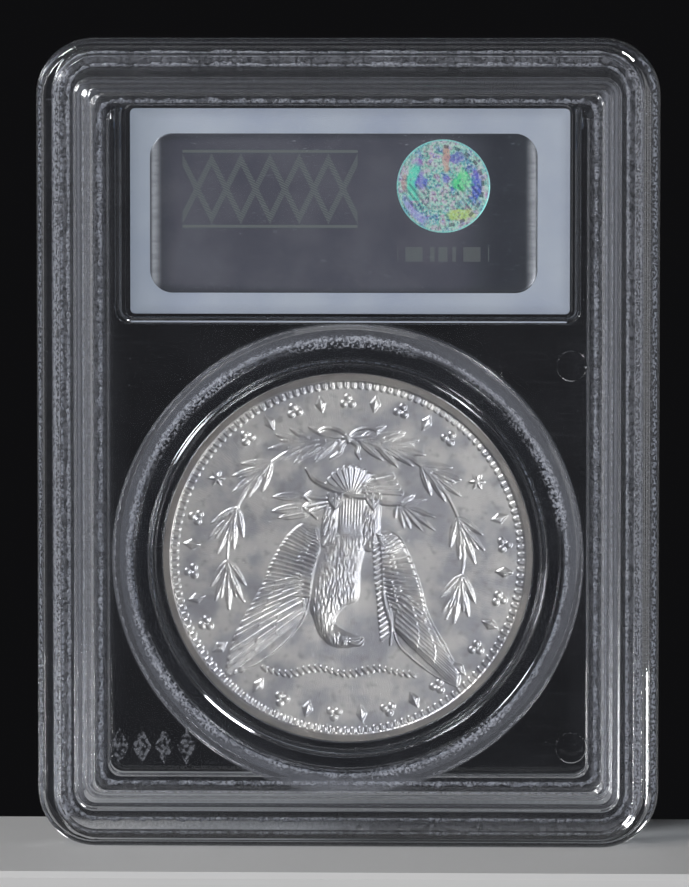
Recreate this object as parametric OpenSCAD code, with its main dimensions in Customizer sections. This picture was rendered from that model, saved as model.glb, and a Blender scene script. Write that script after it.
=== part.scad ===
// Graded coin slab: two clear welded shells that hold a dollar-sized coin in a
// clear ring and a paper label with a foil seal.
// The parts are drawn lying down, x across, y up the holder and z through its
// thickness, with the rear face at +z. stand() then sets them on their lower edge.

/* [Holder] */
// Width of the holder
holder_w = 64; // [63.6:0.1:66]
// Height of the holder
holder_h = 83.4; // [83.2:0.1:86]
// Thickness over the rims of both faces
holder_t = 7.9; // [7.7:0.1:8.4]
// Radius of the four outer corners
corner_r = 5.9; // [4.5:0.1:7.5]
// Thickness of the flat clear windows
window_t = 1.2; // [0.8:0.05:1.3]

/* [Rims] */
// Height that the stacking rims stand above the windows
rim_rise = 1.05; // [0.6:0.05:1.2]
// Width of the low ledge outside the rear rim, at the sides
side_ledge = 1.75; // [1.5:0.05:2]
// Width of the low ledge outside the rear rim, at the top and bottom
end_ledge = 1; // [0.8:0.05:2]
// Gap between this rim and the front recess of the next holder
stack_gap = 0.1; // [0.05:0.05:0.2]

/* [Coin] */
// Diameter of the coin
coin_d = 38.1; // [36:0.1:38.1]
// Thickness of the coin over its rims
coin_t = 2.4; // [2:0.05:2.6]
// Height of the coin's centre above the lower edge
coin_y = 29.9; // [29.6:0.1:29.9]

/* [Label] */
// Width of the paper label
label_w = 45.2; // [41:0.1:45.4]
// Height of the paper label
label_h = 21.1; // [18:0.1:21.1]
// Height of the label's centre above the lower edge
label_y = 65.6; // [65.6:0.1:66]
// Width of the foil seal on the back of the label
foil_w = 39.8; // [30:0.1:40.2]
// Height of the foil seal
foil_h = 17; // [13:0.1:17.3]
// Diameter of the round hologram on the foil
hologram_d = 9.6; // [6:0.1:10]

/* [Hidden] */
$fn = 96;

// Levels through the thickness, measured from the parting plane at z = 0.
crest_z = holder_t / 2;
face_z = crest_z - rim_rise;
inside_z = face_z - window_t;
cut = 0.5;

// Insets from the outer edge are [at the sides, at the top and bottom].
edge = [0, 0];
least_r = 0.6;

// The rear rim, and the terraces that step down from it to the window: inset of
// the inner edge, and height above the window.
rear_rim = [[side_ledge, end_ledge], [3.9, 3.9]];
terraces = [[5.0, 0.6], [6.2, 0.3]];
terrace_root = [1, 1];

// Inside of the front rim, which the next holder's rear rim drops into.
front_rim_in = rear_rim[0] - [stack_gap, stack_gap];

// Walls inside the border.
outer_wall_in = [4.8, 4.8];
inner_wall = [[5.9, 5.9], [7.1, 7.1]];
wall_root = 0.1;

// Grooves that the weld beads fill, in the meeting faces of both shells.
outer_groove = [[2.9, 2.4], [3.5, 3.0]];
outer_groove_depth = 0.45;
inner_groove = [[6.25, 6.25], [6.75, 6.75]];
inner_groove_depth = 0.35;
bead_to_well = 0.2;

// Round well that holds the coin ring.
well_r = 22.1;
well_wall_r = 24.15;
well_groove_r = [22.3, 22.9];
well_groove_depth = 0.4;

// Clear ring that grips the coin.
ring_gap = 0.01;
ring_step_r = 20.6;
ring_slip = 0.15;
ring_r = well_r - ring_slip;
collar_gap = 0.05;
ring_collar_z = inside_z - collar_gap;
ring_web_z = 1.2;

// Coin relief.
coin_field_drop = 0.12;
coin_rim_w = 0.8;
bead_band_w = 0.8;
bead_band_rise = 0.06;
star_r = 1.0;
star_ring_r = 15.2;
star_angles = [30, 150];
star_rise = 0.06;
star_points = 6;
star_notch = 0.55;

// Label pad and pocket.
// The paper lies a little to one side of its pocket, with the foil off its middle.
pad_margin = [1.2, 0.9];
pad_r = 1.4;
pocket_gap = 0.3;
label_x = 0.2;
paper_t = 0.3;
paper_r = 0.5;
foil_t = 0.1;
foil_r = 1.6;
foil_x = -0.45;
foil_y = label_y - 0.2;
hologram_t = 0.08;
hologram_x = 9.8;
hologram_y = label_y + 2.6;
seal_gap = 0.1;
slip_gap = 0.03;
rear_pocket_depth = paper_t / 2 + foil_t + hologram_t + seal_gap;
front_pocket_depth = paper_t / 2 + slip_gap;

// Moulded marks on the inside of the rear shell.
pin_marks = [[23, 49.8], [23, 10.4], [-25.3, 76.5], [25.3, 76.5]];
pin_mark_r = 1.6;
pin_mark_depth = 0.05;
emblem_x = -20.1;
emblem_y = 10.4;
emblem_count = 4;
emblem_pitch = 2.3;
emblem_w = 1.9;
emblem_h = 3.8;
emblem_rise = 0.12;

// Rectangle with round corners, centred.
module rounded(w, h, r) {
    square([w - 2 * r, h], center = true);
    square([w, h - 2 * r], center = true);
    for (x = [-1, 1], y = [-1, 1])
        translate([x * (w / 2 - r), y * (h / 2 - r)]) circle(r);
}

// The holder's outline moved in from its edge.
module outline(inset) {
    r = max(corner_r - (inset[0] + inset[1]) / 2, least_r);
    translate([0, holder_h / 2]) rounded(holder_w - 2 * inset[0], holder_h - 2 * inset[1], r);
}

module plate(inset, z0, z1) {
    translate([0, 0, z0]) linear_extrude(z1 - z0) outline(inset);
}

// A wall that follows the outline between a pair of insets.
module band(pair, z0, z1) {
    difference() {
        plate(pair[0], z0, z1);
        plate(pair[1], z0 - cut, z1 + cut);
    }
}

module disc(r, z0, z1) {
    translate([0, coin_y, z0]) cylinder(r = r, h = z1 - z0);
}

module tube(r0, r1, z0, z1) {
    difference() {
        disc(r1, z0, z1);
        disc(r0, z0 - cut, z1 + cut);
    }
}

module card(x, y, w, h, r, z0, z1) {
    translate([x, y, z0]) linear_extrude(z1 - z0) rounded(w, h, r);
}

// Material between one window and the parting plane: the border walls, the wall
// round the coin and the pad over the label.
module inner_walls() {
    root_z = inside_z + wall_root;
    band([edge, outer_wall_in], 0, root_z);
    band(inner_wall, 0, root_z);
    tube(well_r, well_wall_r, 0, root_z);
    card(0, label_y, label_w + 2 * pad_margin[0], label_h + 2 * pad_margin[1], pad_r, 0, root_z);
}

module inner_bead(z0, z1) {
    difference() {
        band(inner_groove, z0, z1);
        disc(well_wall_r + bead_to_well, z0 - cut, z1 + cut);
    }
}

module weld_grooves() {
    band(outer_groove, -cut, outer_groove_depth);
    inner_bead(-cut, inner_groove_depth);
    tube(well_groove_r[0], well_groove_r[1], -cut, well_groove_depth);
}

// What both shells share, for the side above the parting plane. Its child is cut
// from the inside of the window before the walls are added.
module half_shell(pocket_depth) {
    difference() {
        union() {
            difference() {
                plate(edge, inside_z, face_z);
                children();
            }
            inner_walls();
        }
        weld_grooves();
        card(0, label_y, label_w + 2 * pocket_gap, label_h + 2 * pocket_gap, paper_r, -cut, pocket_depth);
    }
}

// Round marks that the mould's ejector pins left.
module pin_mark_cuts() {
    for (p = pin_marks)
        translate([p[0], p[1], inside_z - cut]) cylinder(r = pin_mark_r, h = cut + pin_mark_depth);
}

// Row of raised lozenges moulded into the lower corner.
module corner_emblem() {
    for (i = [0:emblem_count - 1])
        translate([emblem_x + (i - (emblem_count - 1) / 2) * emblem_pitch, emblem_y, inside_z - emblem_rise])
            linear_extrude(emblem_rise)
                polygon([[-emblem_w / 2, 0], [0, -emblem_h / 2], [emblem_w / 2, 0], [0, emblem_h / 2]]);
}

module rear_shell() {
    color([0.8, 0.86, 0.92, 0.35]) {
        half_shell(rear_pocket_depth) pin_mark_cuts();
        band(rear_rim, face_z, crest_z);
        for (t = terraces) band([rear_rim[0] + terrace_root, [t[0], t[0]]], face_z, face_z + t[1]);
        corner_emblem();
    }
}

module front_shell() {
    color([0.78, 0.84, 0.9, 0.35])
        mirror([0, 0, 1]) {
            half_shell(front_pocket_depth);
            band([edge, front_rim_in], face_z, crest_z);
        }
}

module outer_weld_bead() {
    color([0.93, 0.94, 0.96])
        band(outer_groove, -outer_groove_depth, outer_groove_depth);
}

module inner_weld_bead() {
    color([0.93, 0.94, 0.96]) inner_bead(-inner_groove_depth, inner_groove_depth);
}

module well_weld_bead() {
    color([0.93, 0.94, 0.96])
        tube(well_groove_r[0], well_groove_r[1], -well_groove_depth, well_groove_depth);
}

// Stepped clear ring: a thin web against the coin's edge and a taller collar outside it.
module coin_ring() {
    color([0.7, 0.75, 0.82, 0.5]) {
        tube(coin_d / 2 + ring_gap, ring_step_r, -ring_web_z, ring_web_z);
        tube(ring_step_r, ring_r, -ring_collar_z, ring_collar_z);
    }
}

module star(r, rise) {
    half_turn = 180 / star_points;
    linear_extrude(rise)
        polygon([
            for (i = [0:2 * star_points - 1])
                (i % 2 == 0 ? r : r * star_notch) * [cos(half_turn * i), sin(half_turn * i)]
        ]);
}

// Raised rim, bead band and stars of one face, on the field at +z.
module coin_face() {
    rim_z = coin_t / 2;
    field_z = rim_z - coin_field_drop;
    tube(coin_d / 2 - coin_rim_w, coin_d / 2, 0, rim_z);
    tube(coin_d / 2 - coin_rim_w - bead_band_w, coin_d / 2 - coin_rim_w, 0, field_z + bead_band_rise);
    disc(coin_d / 2 - coin_rim_w - bead_band_w, 0, field_z);
    for (a = star_angles)
        translate([star_ring_r * cos(a), coin_y + star_ring_r * sin(a), field_z]) star(star_r, star_rise);
}

module coin() {
    color("silver") {
        coin_face();
        mirror([0, 0, 1]) coin_face();
    }
}

module paper_label() {
    color([0.74, 0.79, 0.87]) card(label_x, label_y, label_w, label_h, paper_r, -paper_t / 2, paper_t / 2);
}

module foil_seal() {
    color([0.33, 0.34, 0.36])
        card(foil_x, foil_y, foil_w, foil_h, foil_r, paper_t / 2, paper_t / 2 + foil_t);
}

module round_hologram() {
    color([0.45, 0.8, 0.75])
        translate([hologram_x, hologram_y, paper_t / 2 + foil_t]) cylinder(d = hologram_d, h = hologram_t);
}

// Sets a part that was drawn lying down on its lower edge, with the rear face at -Y.
module stand() {
    rotate([90, 0, 0]) children();
}

stand() rear_shell();
stand() front_shell();
stand() outer_weld_bead();
stand() inner_weld_bead();
stand() well_weld_bead();
stand() coin_ring();
stand() coin();
stand() paper_label();
stand() foil_seal();
stand() round_hologram();
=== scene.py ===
import math

import bmesh
import bpy
import numpy as np
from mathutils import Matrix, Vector, noise


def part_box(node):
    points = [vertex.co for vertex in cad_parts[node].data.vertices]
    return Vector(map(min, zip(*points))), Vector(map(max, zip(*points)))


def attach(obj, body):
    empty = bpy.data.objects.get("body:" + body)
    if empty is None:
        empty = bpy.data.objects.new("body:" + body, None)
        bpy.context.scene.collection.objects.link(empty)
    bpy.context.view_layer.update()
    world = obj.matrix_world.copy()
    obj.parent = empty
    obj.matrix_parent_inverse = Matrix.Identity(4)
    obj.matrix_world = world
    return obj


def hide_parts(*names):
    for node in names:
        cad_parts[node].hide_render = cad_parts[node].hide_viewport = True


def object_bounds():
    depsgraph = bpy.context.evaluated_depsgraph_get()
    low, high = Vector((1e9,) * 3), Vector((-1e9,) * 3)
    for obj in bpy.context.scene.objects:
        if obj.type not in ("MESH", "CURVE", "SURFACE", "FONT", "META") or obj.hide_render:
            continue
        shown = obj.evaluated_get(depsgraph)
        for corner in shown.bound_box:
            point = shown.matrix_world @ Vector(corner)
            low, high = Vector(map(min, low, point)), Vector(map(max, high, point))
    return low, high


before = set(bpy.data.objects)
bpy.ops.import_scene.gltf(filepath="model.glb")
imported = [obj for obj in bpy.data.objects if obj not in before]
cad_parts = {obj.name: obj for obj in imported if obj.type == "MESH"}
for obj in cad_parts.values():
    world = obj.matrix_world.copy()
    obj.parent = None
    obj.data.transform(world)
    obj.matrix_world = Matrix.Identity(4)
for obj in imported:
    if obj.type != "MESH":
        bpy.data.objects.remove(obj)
cad_low, cad_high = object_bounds()


# Rear shell: one clear polystyrene moulding, the half with the coin's back. A raised rim stands
# inside a rounded ledge and steps down to the flat window. Walls behind the window make the
# border, the round well and the pad that holds the label, and they are welded to the front shell.
MM = 0.001
holder_w = (cad_high.x - cad_low.x) / MM
holder_h = (cad_high.z - cad_low.z) / MM
crest = cad_high.y / MM
face = crest - 1.05
inside = face - 1.2
corner_r = 5.9
least_r = 1.4
side_ledge, end_ledge = 1.75, 1.0
rim_in = 3.9
seam = 0.012
well_r, well_wall_r, well_weld_r = 22.1, 24.15, 22.6
pad_side, pad_end, pad_r = 1.2, 0.9, 1.4
pocket_r, mouth_gap, deep_gap = 0.5, 0.45, 0.3
rear_pocket, front_pocket = 0.43, 0.18
line_rad_per_mm = 13
pin_marks = ((23, 49.8), (23, 10.4), (-25.3, 76.5), (25.3, 76.5))
pin_mark_r, pin_mark_rise = 1.6, 0.1


def box_mm(node):
    """A CAD node's middle x and z, width, height, and how far back its two faces lie, in mm."""
    low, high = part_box(node)
    middle_x, middle_z = (low.x + high.x) / 2 / MM, (low.z + high.z) / 2 / MM
    return middle_x, middle_z, (high.x - low.x) / MM, (high.z - low.z) / MM, -low.y / MM, -high.y / MM


coin_z = box_mm("coin")[1]
label_x, label_z, label_w, label_h = box_mm("paper_label")[:4]


def filleted(corners, steps=5):
    """The points of a profile whose corners (x, y, radius) are rounded."""
    points = []
    for k, (x, y, radius) in enumerate(corners):
        here = Vector((x, y))
        if radius == 0 or k in (0, len(corners) - 1):
            points.append((x, y))
            continue
        back = (Vector(corners[k - 1][:2]) - here).normalized()
        ahead = (Vector(corners[k + 1][:2]) - here).normalized()
        half = back.angle(ahead) / 2
        centre = here + (back + ahead).normalized() * radius / math.sin(half)
        start = here + back * radius / math.tan(half) - centre
        end = here + ahead * radius / math.tan(half) - centre
        turn = math.pi - 2 * half
        for step in range(steps + 1):
            t = step / steps
            arm = start * math.sin((1 - t) * turn) + end * math.sin(t * turn)
            points.append(tuple(centre + arm / math.sin(turn)))
    return points


def rounded_ring(x, z, width, height, radius, y, steps=12):
    """Points round a rectangle with round corners, in mm, anticlockwise seen from the rear."""
    points = []
    for quarter, (sx, sz) in enumerate(((1, 1), (-1, 1), (-1, -1), (1, -1))):
        for step in range(steps + 1):
            a = (quarter + step / steps) * math.pi / 2
            px = x + sx * (width / 2 - radius) + radius * math.cos(a)
            pz = z + sz * (height / 2 - radius) + radius * math.sin(a)
            points.append((px, y, pz))
    return points


def border_ring(inset, y):
    """Points round the holder at an inset from its sides. The border is narrower at the ends."""
    end = float(np.interp(inset, (0, side_ledge, 3.2, rim_in, 99), (0, end_ledge, 2.7, rim_in, 99)))
    radius = max(corner_r - (inset + end) / 2, least_r)
    return rounded_ring(0, holder_h / 2, holder_w - 2 * inset, holder_h - 2 * end, radius, y)


def round_ring(x, z, radius, y, steps=128):
    """Points round a circle, anticlockwise seen from the rear."""
    turns = [2 * math.pi * k / steps for k in range(steps)]
    return [(x + radius * math.cos(a), y, z + radius * math.sin(a)) for a in turns]


def linked(name, data):
    """An object for a mesh, a lamp or a camera, in the scene."""
    made = bpy.data.objects.new(name, data)
    bpy.context.scene.collection.objects.link(made)
    return made


def skinned(name, rings, loop=False):
    """A closed mesh over rings of points in mm: capped at both ends, or joined end to end."""
    count = len(rings[0])
    faces = []
    for k in range(len(rings) if loop else len(rings) - 1):
        a, b = k * count, (k + 1) % len(rings) * count
        faces += [(a + i, a + (i + 1) % count, b + (i + 1) % count, b + i) for i in range(count)]
    if not loop:
        total = len(rings) * count
        faces += [tuple(reversed(range(count))), tuple(range(total - count, total))]
    mesh = bpy.data.meshes.new(name)
    mesh.from_pydata([tuple(c * MM for c in p) for ring in rings for p in ring], [], faces)
    work = bmesh.new()
    work.from_mesh(mesh)
    bmesh.ops.recalc_face_normals(work, faces=work.faces)
    work.to_mesh(mesh)
    work.free()
    return linked(name, mesh)


def combine(piece, other, operation):
    """Joins, cuts or intersects piece with other, which is used up."""
    step = piece.modifiers.new("step", "BOOLEAN")
    step.operation, step.solver, step.object = operation, "EXACT", other
    graph = bpy.context.evaluated_depsgraph_get()
    made = bpy.data.meshes.new_from_object(piece.evaluated_get(graph))
    piece.modifiers.clear()
    piece.data = made
    bpy.data.objects.remove(other)
    return piece


def smoothed(piece, sharp_deg=28):
    """Smooth curved walls, sharp edges, and normals that the large flat faces lead."""
    work = bmesh.new()
    work.from_mesh(piece.data)
    bmesh.ops.remove_doubles(work, verts=work.verts, dist=1e-7)
    for one in work.faces:
        one.smooth = True
    for edge in work.edges:
        edge.smooth = edge.is_manifold and edge.calc_face_angle() < math.radians(sharp_deg)
    work.to_mesh(piece.data)
    work.free()
    weighted = piece.modifiers.new("flat_faces_lead", "WEIGHTED_NORMAL")
    weighted.keep_sharp = True
    return piece


def placed(piece, material, slot, *nodes):
    """Gives a finished piece its material and its body, and hides the CAD nodes that it stands for. slot is
    not used.
    """
    piece.data.materials.clear()
    piece.data.materials.append(material)
    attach(piece, "root")
    if nodes:
        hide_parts(*nodes)
    return piece


class Value:
    """A socket in a material. Sums written on it add Math nodes."""

    def __init__(self, finish, socket):
        self.finish, self.socket = finish, socket

    def maths(self, operation, *terms):
        return self.finish.add("Math", {"operation": operation}, dict(enumerate(terms)))

    def __add__(self, other):
        return self.maths("ADD", self, other)

    def __sub__(self, other):
        return self.maths("SUBTRACT", self, other)

    def __rsub__(self, other):
        return self.maths("SUBTRACT", other, self)

    def __mul__(self, other):
        return self.maths("MULTIPLY", self, other)

    def __truediv__(self, other):
        return self.maths("DIVIDE", self, other)

    def __pow__(self, other):
        return self.maths("POWER", self, other)

    def __gt__(self, other):
        return self.maths("GREATER_THAN", self, other)

    def __lt__(self, other):
        return self.maths("LESS_THAN", self, other)

    __radd__, __rmul__ = __add__, __mul__

    def fn(self, operation, *more):
        """Any other function of one or more values, such as SINE or ABSOLUTE."""
        return self.maths(operation, self, *more)

    def ramp(self, low, high):
        """0 at low and below, 1 at high and above, smooth between them."""
        sockets = {"Value": self, "From Min": low, "From Max": high}
        return self.finish.add("MapRange", {"interpolation_type": "SMOOTHSTEP"}, sockets)


class Finish:
    """A material, with short ways to add its nodes."""

    def __init__(self, name):
        self.material = bpy.data.materials.new(name)
        self.material.use_nodes = True
        self.tree = self.material.node_tree
        self.tree.nodes.clear()

    def add(self, kind, settings=None, sockets=None, out=0):
        node = self.tree.nodes.new("ShaderNode" + kind)
        for key, value in (settings or {}).items():
            if key == "stops":
                while len(node.color_ramp.elements) < len(value):
                    node.color_ramp.elements.new(0.5)
                for element, (place, colour) in zip(node.color_ramp.elements, value):
                    element.position, element.color = place, (*colour, 1)
            else:
                setattr(node, key, value)
        for key, value in (sockets or {}).items():
            if isinstance(value, Value):
                self.tree.links.new(value.socket, node.inputs[key])
            else:
                node.inputs[key].default_value = value
        return Value(self, node.outputs[out])

    def place(self):
        """X, Y and Z in mm in the holder's frame, and the three together."""
        point = self.add("TexCoord", out="Object")
        point = self.add("VectorMath", {"operation": "SCALE"}, {"Vector": point, "Scale": 1 / MM})
        axes = [self.add("SeparateXYZ", {}, {0: point}, out=k) for k in range(3)]
        return (*axes, point)

    def noise(self, point, scale, detail=3.0, stretch=(1, 1, 1)):
        """Smooth random value about 0.5, at scale bumps a mm."""
        point = self.add("VectorMath", {"operation": "MULTIPLY"}, {0: point, 1: stretch})
        return self.add("TexNoise", {}, {"Vector": point, "Scale": scale, "Detail": detail})

    def blend(self, mask, first, second):
        """The first colour where mask is 0, and the second where it is 1."""
        return self.add("Mix", {"data_type": "RGBA"}, {0: mask, 6: first, 7: second}, out=2)

    def cover(self, mask, first, second):
        """The first shader where mask is 0, and the second where it is 1."""
        return self.add("MixShader", {}, {0: mask, 1: first, 2: second})

    def opaque(self, colour, roughness, height, strength, distance, metallic=0.0):
        """An opaque shader, with a bump that follows height. Its distance is in metres."""
        bump = self.add("Bump", {}, {"Strength": strength, "Distance": distance, "Height": height})
        sockets = {"Base Color": colour, "Roughness": roughness, "Metallic": metallic, "Normal": bump}
        return self.add("BsdfPrincipled", {}, sockets)

    def done(self, shader):
        """Links the last shader to the output, and returns the material."""
        end = self.tree.nodes.new("ShaderNodeOutputMaterial")
        self.tree.links.new(shader.socket, end.inputs[0])
        return self.material


def from_edge(x, z):
    """How far a point lies inside the holder's rounded outline, in mm, worked out in a material."""
    u = x.fn("ABSOLUTE") - (holder_w / 2 - corner_r)
    v = (z - holder_h / 2).fn("ABSOLUTE") - (holder_h / 2 - corner_r)
    beyond = (u.fn("MAXIMUM", 0) ** 2 + v.fn("MAXIMUM", 0) ** 2) ** 0.5
    return corner_r - beyond - u.fn("MAXIMUM", v).fn("MINIMUM", 0)


def at_ends(x, z):
    """1 along the top and bottom of the border, 0 along its sides."""
    u = x.fn("ABSOLUTE") - holder_w / 2
    v = (z - holder_h / 2).fn("ABSOLUTE") - holder_h / 2
    return (v - u).ramp(-0.6, 0.6)


def clear_plastic(name, tint, blur, dust, frost=()):
    """Clear plastic that lets lamps through, with rubbing marks, haze and dust. With frost, which is
    (distance from the edge in mm, share of frost) pairs, the border and the well's wall are milky."""
    finish = Finish(name)
    x, y, z, point = finish.place()
    grain = finish.noise(point, 3.4, 3.0)
    rubs = finish.noise(point, 1.4, 5.0, (0.12, 1, 1.6)).ramp(0.62, 0.8)
    wear = rubs * 0.05 + blur
    veil = finish.noise(point, 0.12, 4.0).ramp(0.2, 0.8) * 0.006 + 0.004 + rubs * 0.02
    if frost:
        inset = from_edge(x, z)
        stops = tuple((d / 10, (share, share, share)) for d, share in frost)
        bands = finish.add("ValToRGB", {"stops": stops}, {0: inset / 10})
        outer = y.fn("ABSOLUTE") > inside + 0.3
        down = z - coin_z
        out = (x * x + down * down) ** 0.5
        wall = out.ramp(well_r, well_r + 0.4) - out.ramp(well_wall_r - 0.1, well_wall_r + 0.2)
        wall = wall * (grain * 0.16 + 0.04)
        patches = finish.noise(point, 0.07, 2.0).ramp(0.42, 0.62)
        weld = out.ramp(well_weld_r - 1, well_weld_r - 0.6) - out.ramp(well_weld_r + 0.1, well_weld_r + 0.5)
        weld = weld * patches * grain.ramp(0.5, 0.58) * 0.55
        bands = bands * (grain.ramp(0.46, 0.56) * 1.9 + 0.2) * (1 - at_ends(x, z) * 0.72)
        scored = inset.ramp(3.95, 4.1) - inset.ramp(5.5, 5.7)
        lines = (inset * line_rad_per_mm).fn("SINE") * 0.07 + 0.12
        lines = scored * lines * (1 - at_ends(x, z) * 0.6)
        veil = veil + (bands + wall + weld + lines) * outer
        wear = wear + inset.ramp(1.7, 2.1) * (1 - inset.ramp(6.6, 7.4)) * 0.07
    sockets = {"Base Color": (*tint, 1), "Roughness": wear, "IOR": 1.58, "Transmission Weight": 1.0}
    glass = finish.add("BsdfPrincipled", {}, sockets)
    milky = finish.opaque((0.72, 0.75, 0.86, 1), 0.4, grain, 0.6, 0.0001)
    cells = finish.add("TexVoronoi", {}, {"Vector": point, "Scale": 1.1, "Randomness": 1.0})
    chosen = finish.noise(point, 0.8, 2.0).ramp(0.55, 0.7)
    specks = (cells < dust) * chosen * 0.5
    seen = finish.cover(veil.fn("MAXIMUM", specks), glass, milky)
    through = finish.add("BsdfTransparent", {}, {"Color": (0.93, 0.94, 0.95, 1)})
    return finish.done(finish.cover(finish.add("LightPath", out="Is Shadow Ray"), seen, through))


def window_air(pocket_depth, marked):
    """The hollow behind one window, from below the parting plane up to the window's inside.

    The well, the pad and the pocket in it leave the walls that hold the ring and the label."""
    wall = filleted(((7.1, -0.4, 0), (7.25, inside, 0.25), (12, inside, 0)))
    air = skinned("air", [border_ring(d, h) for d, h in wall])
    if marked:
        reach = skinned("reach", [border_ring(7.2, -0.4), border_ring(7.2, inside + 0.2)])
        pins = None
        for x, z in pin_marks:
            top = (pin_mark_r - pin_mark_rise, inside + pin_mark_rise)
            cone = ((pin_mark_r, 0.5), (pin_mark_r, inside), top)
            pin = skinned("pin", [round_ring(x, z, r, h, 40) for r, h in cone])
            pins = combine(pins, pin, "UNION") if pins else pin
        air = combine(air, combine(pins, reach, "INTERSECT"), "UNION")
    foot, beyond = well_wall_r - 0.6, inside + 1
    shoulder, lip = inside + 0.01, inside + 0.03
    flare = filleted(((foot, 0, 0), (well_wall_r, shoulder, 0.35), (well_wall_r + 0.6, lip, 0)))
    outside = [(well_r, -1), (well_r, beyond), (well_wall_r + 0.62, beyond)]
    profile = [*outside, *reversed(flare), (foot, -1)]
    well = skinned("well", [round_ring(0, coin_z, r, h) for r, h in profile], loop=True)
    air = combine(air, well, "DIFFERENCE")
    flank = filleted(((-0.5, 0, 0), (0, shoulder, 0.3), (0.5, lip, 0)))
    pad = [
        rounded_ring(0, label_z, label_w + 2 * (pad_side + d), label_h + 2 * (pad_end + d), pad_r + d, h)
        for d, h in [(-0.5, -1), *flank, (0.5, beyond)]
    ]
    air = combine(air, skinned("pad", pad), "DIFFERENCE")
    gap = filleted(((4.8, -0.4, 0), (4.92, inside, 0.2), (5.8, inside, 0.2), (5.9, -0.4, 0)))
    air = combine(air, skinned("gap", [border_ring(d, h) for d, h in gap], loop=True), "UNION")
    pocket = [
        rounded_ring(0, label_z, label_w + 2 * d, label_h + 2 * d, pocket_r + d, h)
        for d, h in ((mouth_gap, -0.4), (mouth_gap, 0), (deep_gap, pocket_depth))
    ]
    return combine(air, skinned("pocket", pocket), "UNION")


def shell(name, corners, side, pocket_depth, marked):
    """A shell from its outer profile of (inset, height, radius) corners. side is -1 for the rear."""
    body = skinned(name, [border_ring(d, h) for d, h in filleted(corners)])
    body = combine(body, window_air(pocket_depth, marked), "DIFFERENCE")
    for vertex in body.data.vertices:
        vertex.co.y *= side
    if side < 0:
        body.data.flip_normals()
    return smoothed(body)


rim_frost = (
    (0, 0.004),
    (1.6, 0.006),
    (1.95, 0.3),
    (2.4, 0.26),
    (2.7, 0.04),
    (3.25, 0.09),
    (3.55, 0.015),
    (4.1, 0.02),
    (5.3, 0.02),
    (5.7, 0.1),
    (6.2, 0.05),
    (6.7, 0.06),
    (7.3, 0.006),
    (9.5, 0),
)
shell_plastic = clear_plastic("clear_shell_plastic", (0.985, 0.99, 1.0), 0.02, 0.05, rim_frost)
rear_profile = (
    (0.12, seam, 0),
    (0, seam + 0.12, 0),
    (0, face, 1.4),
    (1.75, face, 0.1),
    (2.5, crest, 0.3),
    (4.0, crest, 0.15),
    (4.22, crest - 0.42, 0.12),
    (4.75, crest - 0.42, 0.15),
    (5.05, face + 0.28, 0.12),
    (5.62, face + 0.28, 0.12),
    (5.9, face, 0.12),
    (6.6, face, 0),
)
rear_shell = shell("rear_shell_clear", rear_profile, -1, rear_pocket, True)
placed(rear_shell, shell_plastic, "clear_shell", "rear_shell")


# Front shell: the other clear moulding. Its rim runs right at the edge, and the rear rim of the
# next holder drops inside it, so that holders stack.
front_profile = (
    (0.12, seam, 0),
    (0, seam + 0.12, 0),
    (0, crest, 0.55),
    (1.62, crest, 0.2),
    (1.8, face, 0.15),
    (2.6, face, 0),
)
front_shell = shell("front_shell_clear", front_profile, 1, front_pocket, False)
placed(front_shell, shell_plastic, "clear_shell", "front_shell")


# Weld beads: polystyrene that melted along the joint and set again, frosted, lumpy and broken.
# One runs round the border, one inside it, and one round the coin's well.
def frosted_weld(name, cover, colour):
    """Milky, sparkling plastic that thins out in patches."""
    finish = Finish(name)
    point = finish.place()[3]
    grain = finish.noise(point, 4.5, 3.0)
    patch = finish.noise(point, 0.7, 3.0).ramp(cover - 0.12, cover + 0.12)
    crackle = finish.add("Bump", {}, {"Strength": 0.9, "Distance": 0.0002, "Height": grain})
    shade = tuple(c * 0.45 for c in colour)
    sockets = {
        "Base Color": finish.blend(grain.ramp(0.35, 0.65), (*shade, 1), (*colour, 1)),
        "Roughness": grain * 0.4 + 0.12,
        "IOR": 1.58,
        "Normal": crackle,
    }
    milky = finish.add("BsdfPrincipled", {}, sockets)
    through = finish.add("BsdfTransparent", {}, {"Color": (1, 1, 1, 1)})
    broken = grain.ramp(0.38, 0.52) * (1 - patch * 0.75)
    return finish.done(finish.cover(broken, through, milky))


def wandering(path, half_width, half_height, name, unrest):
    """A bead along a closed path of (x, z) points in mm, with uneven sides and thickness."""
    rings = []
    count = len(path)
    for k, (x, z) in enumerate(path):
        ahead, back = path[(k + 1) % count], path[k - 1]
        along = Vector((ahead[0] - back[0], ahead[1] - back[1])).normalized()
        out = Vector((along.y, -along.x))
        slow = noise.noise(Vector((x * 0.6, 3, z * 0.6)))
        quick = noise.noise(Vector((x * 2.3, 9, z * 2.3)))
        drift = (slow * 0.5 + quick * 0.35) * unrest
        wide = half_width * (1 + 0.9 * quick * unrest + 0.6 * slow)
        ring = []
        for turn in range(8):
            a = turn * math.pi / 4
            side = drift * half_width + wide * math.cos(a)
            ring.append((x + out.x * side, half_height * math.sin(a) * (1 + 0.5 * quick), z + out.y * side))
        rings.append(ring)
    return smoothed(skinned(name, rings, loop=True), 180)


def evenly(ring, spacing):
    """(x, z) points at an even spacing round a closed ring of 3-D points."""
    corners = np.array([(p[0], p[2]) for p in ring] + [(ring[0][0], ring[0][2])])
    steps = np.hypot(*np.diff(corners, axis=0).T)
    run = np.concatenate(([0], np.cumsum(steps)))
    stops = np.arange(0, run[-1], run[-1] / round(run[-1] / spacing))
    return list(zip(np.interp(stops, run, corners[:, 0]), np.interp(stops, run, corners[:, 1])))


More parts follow.
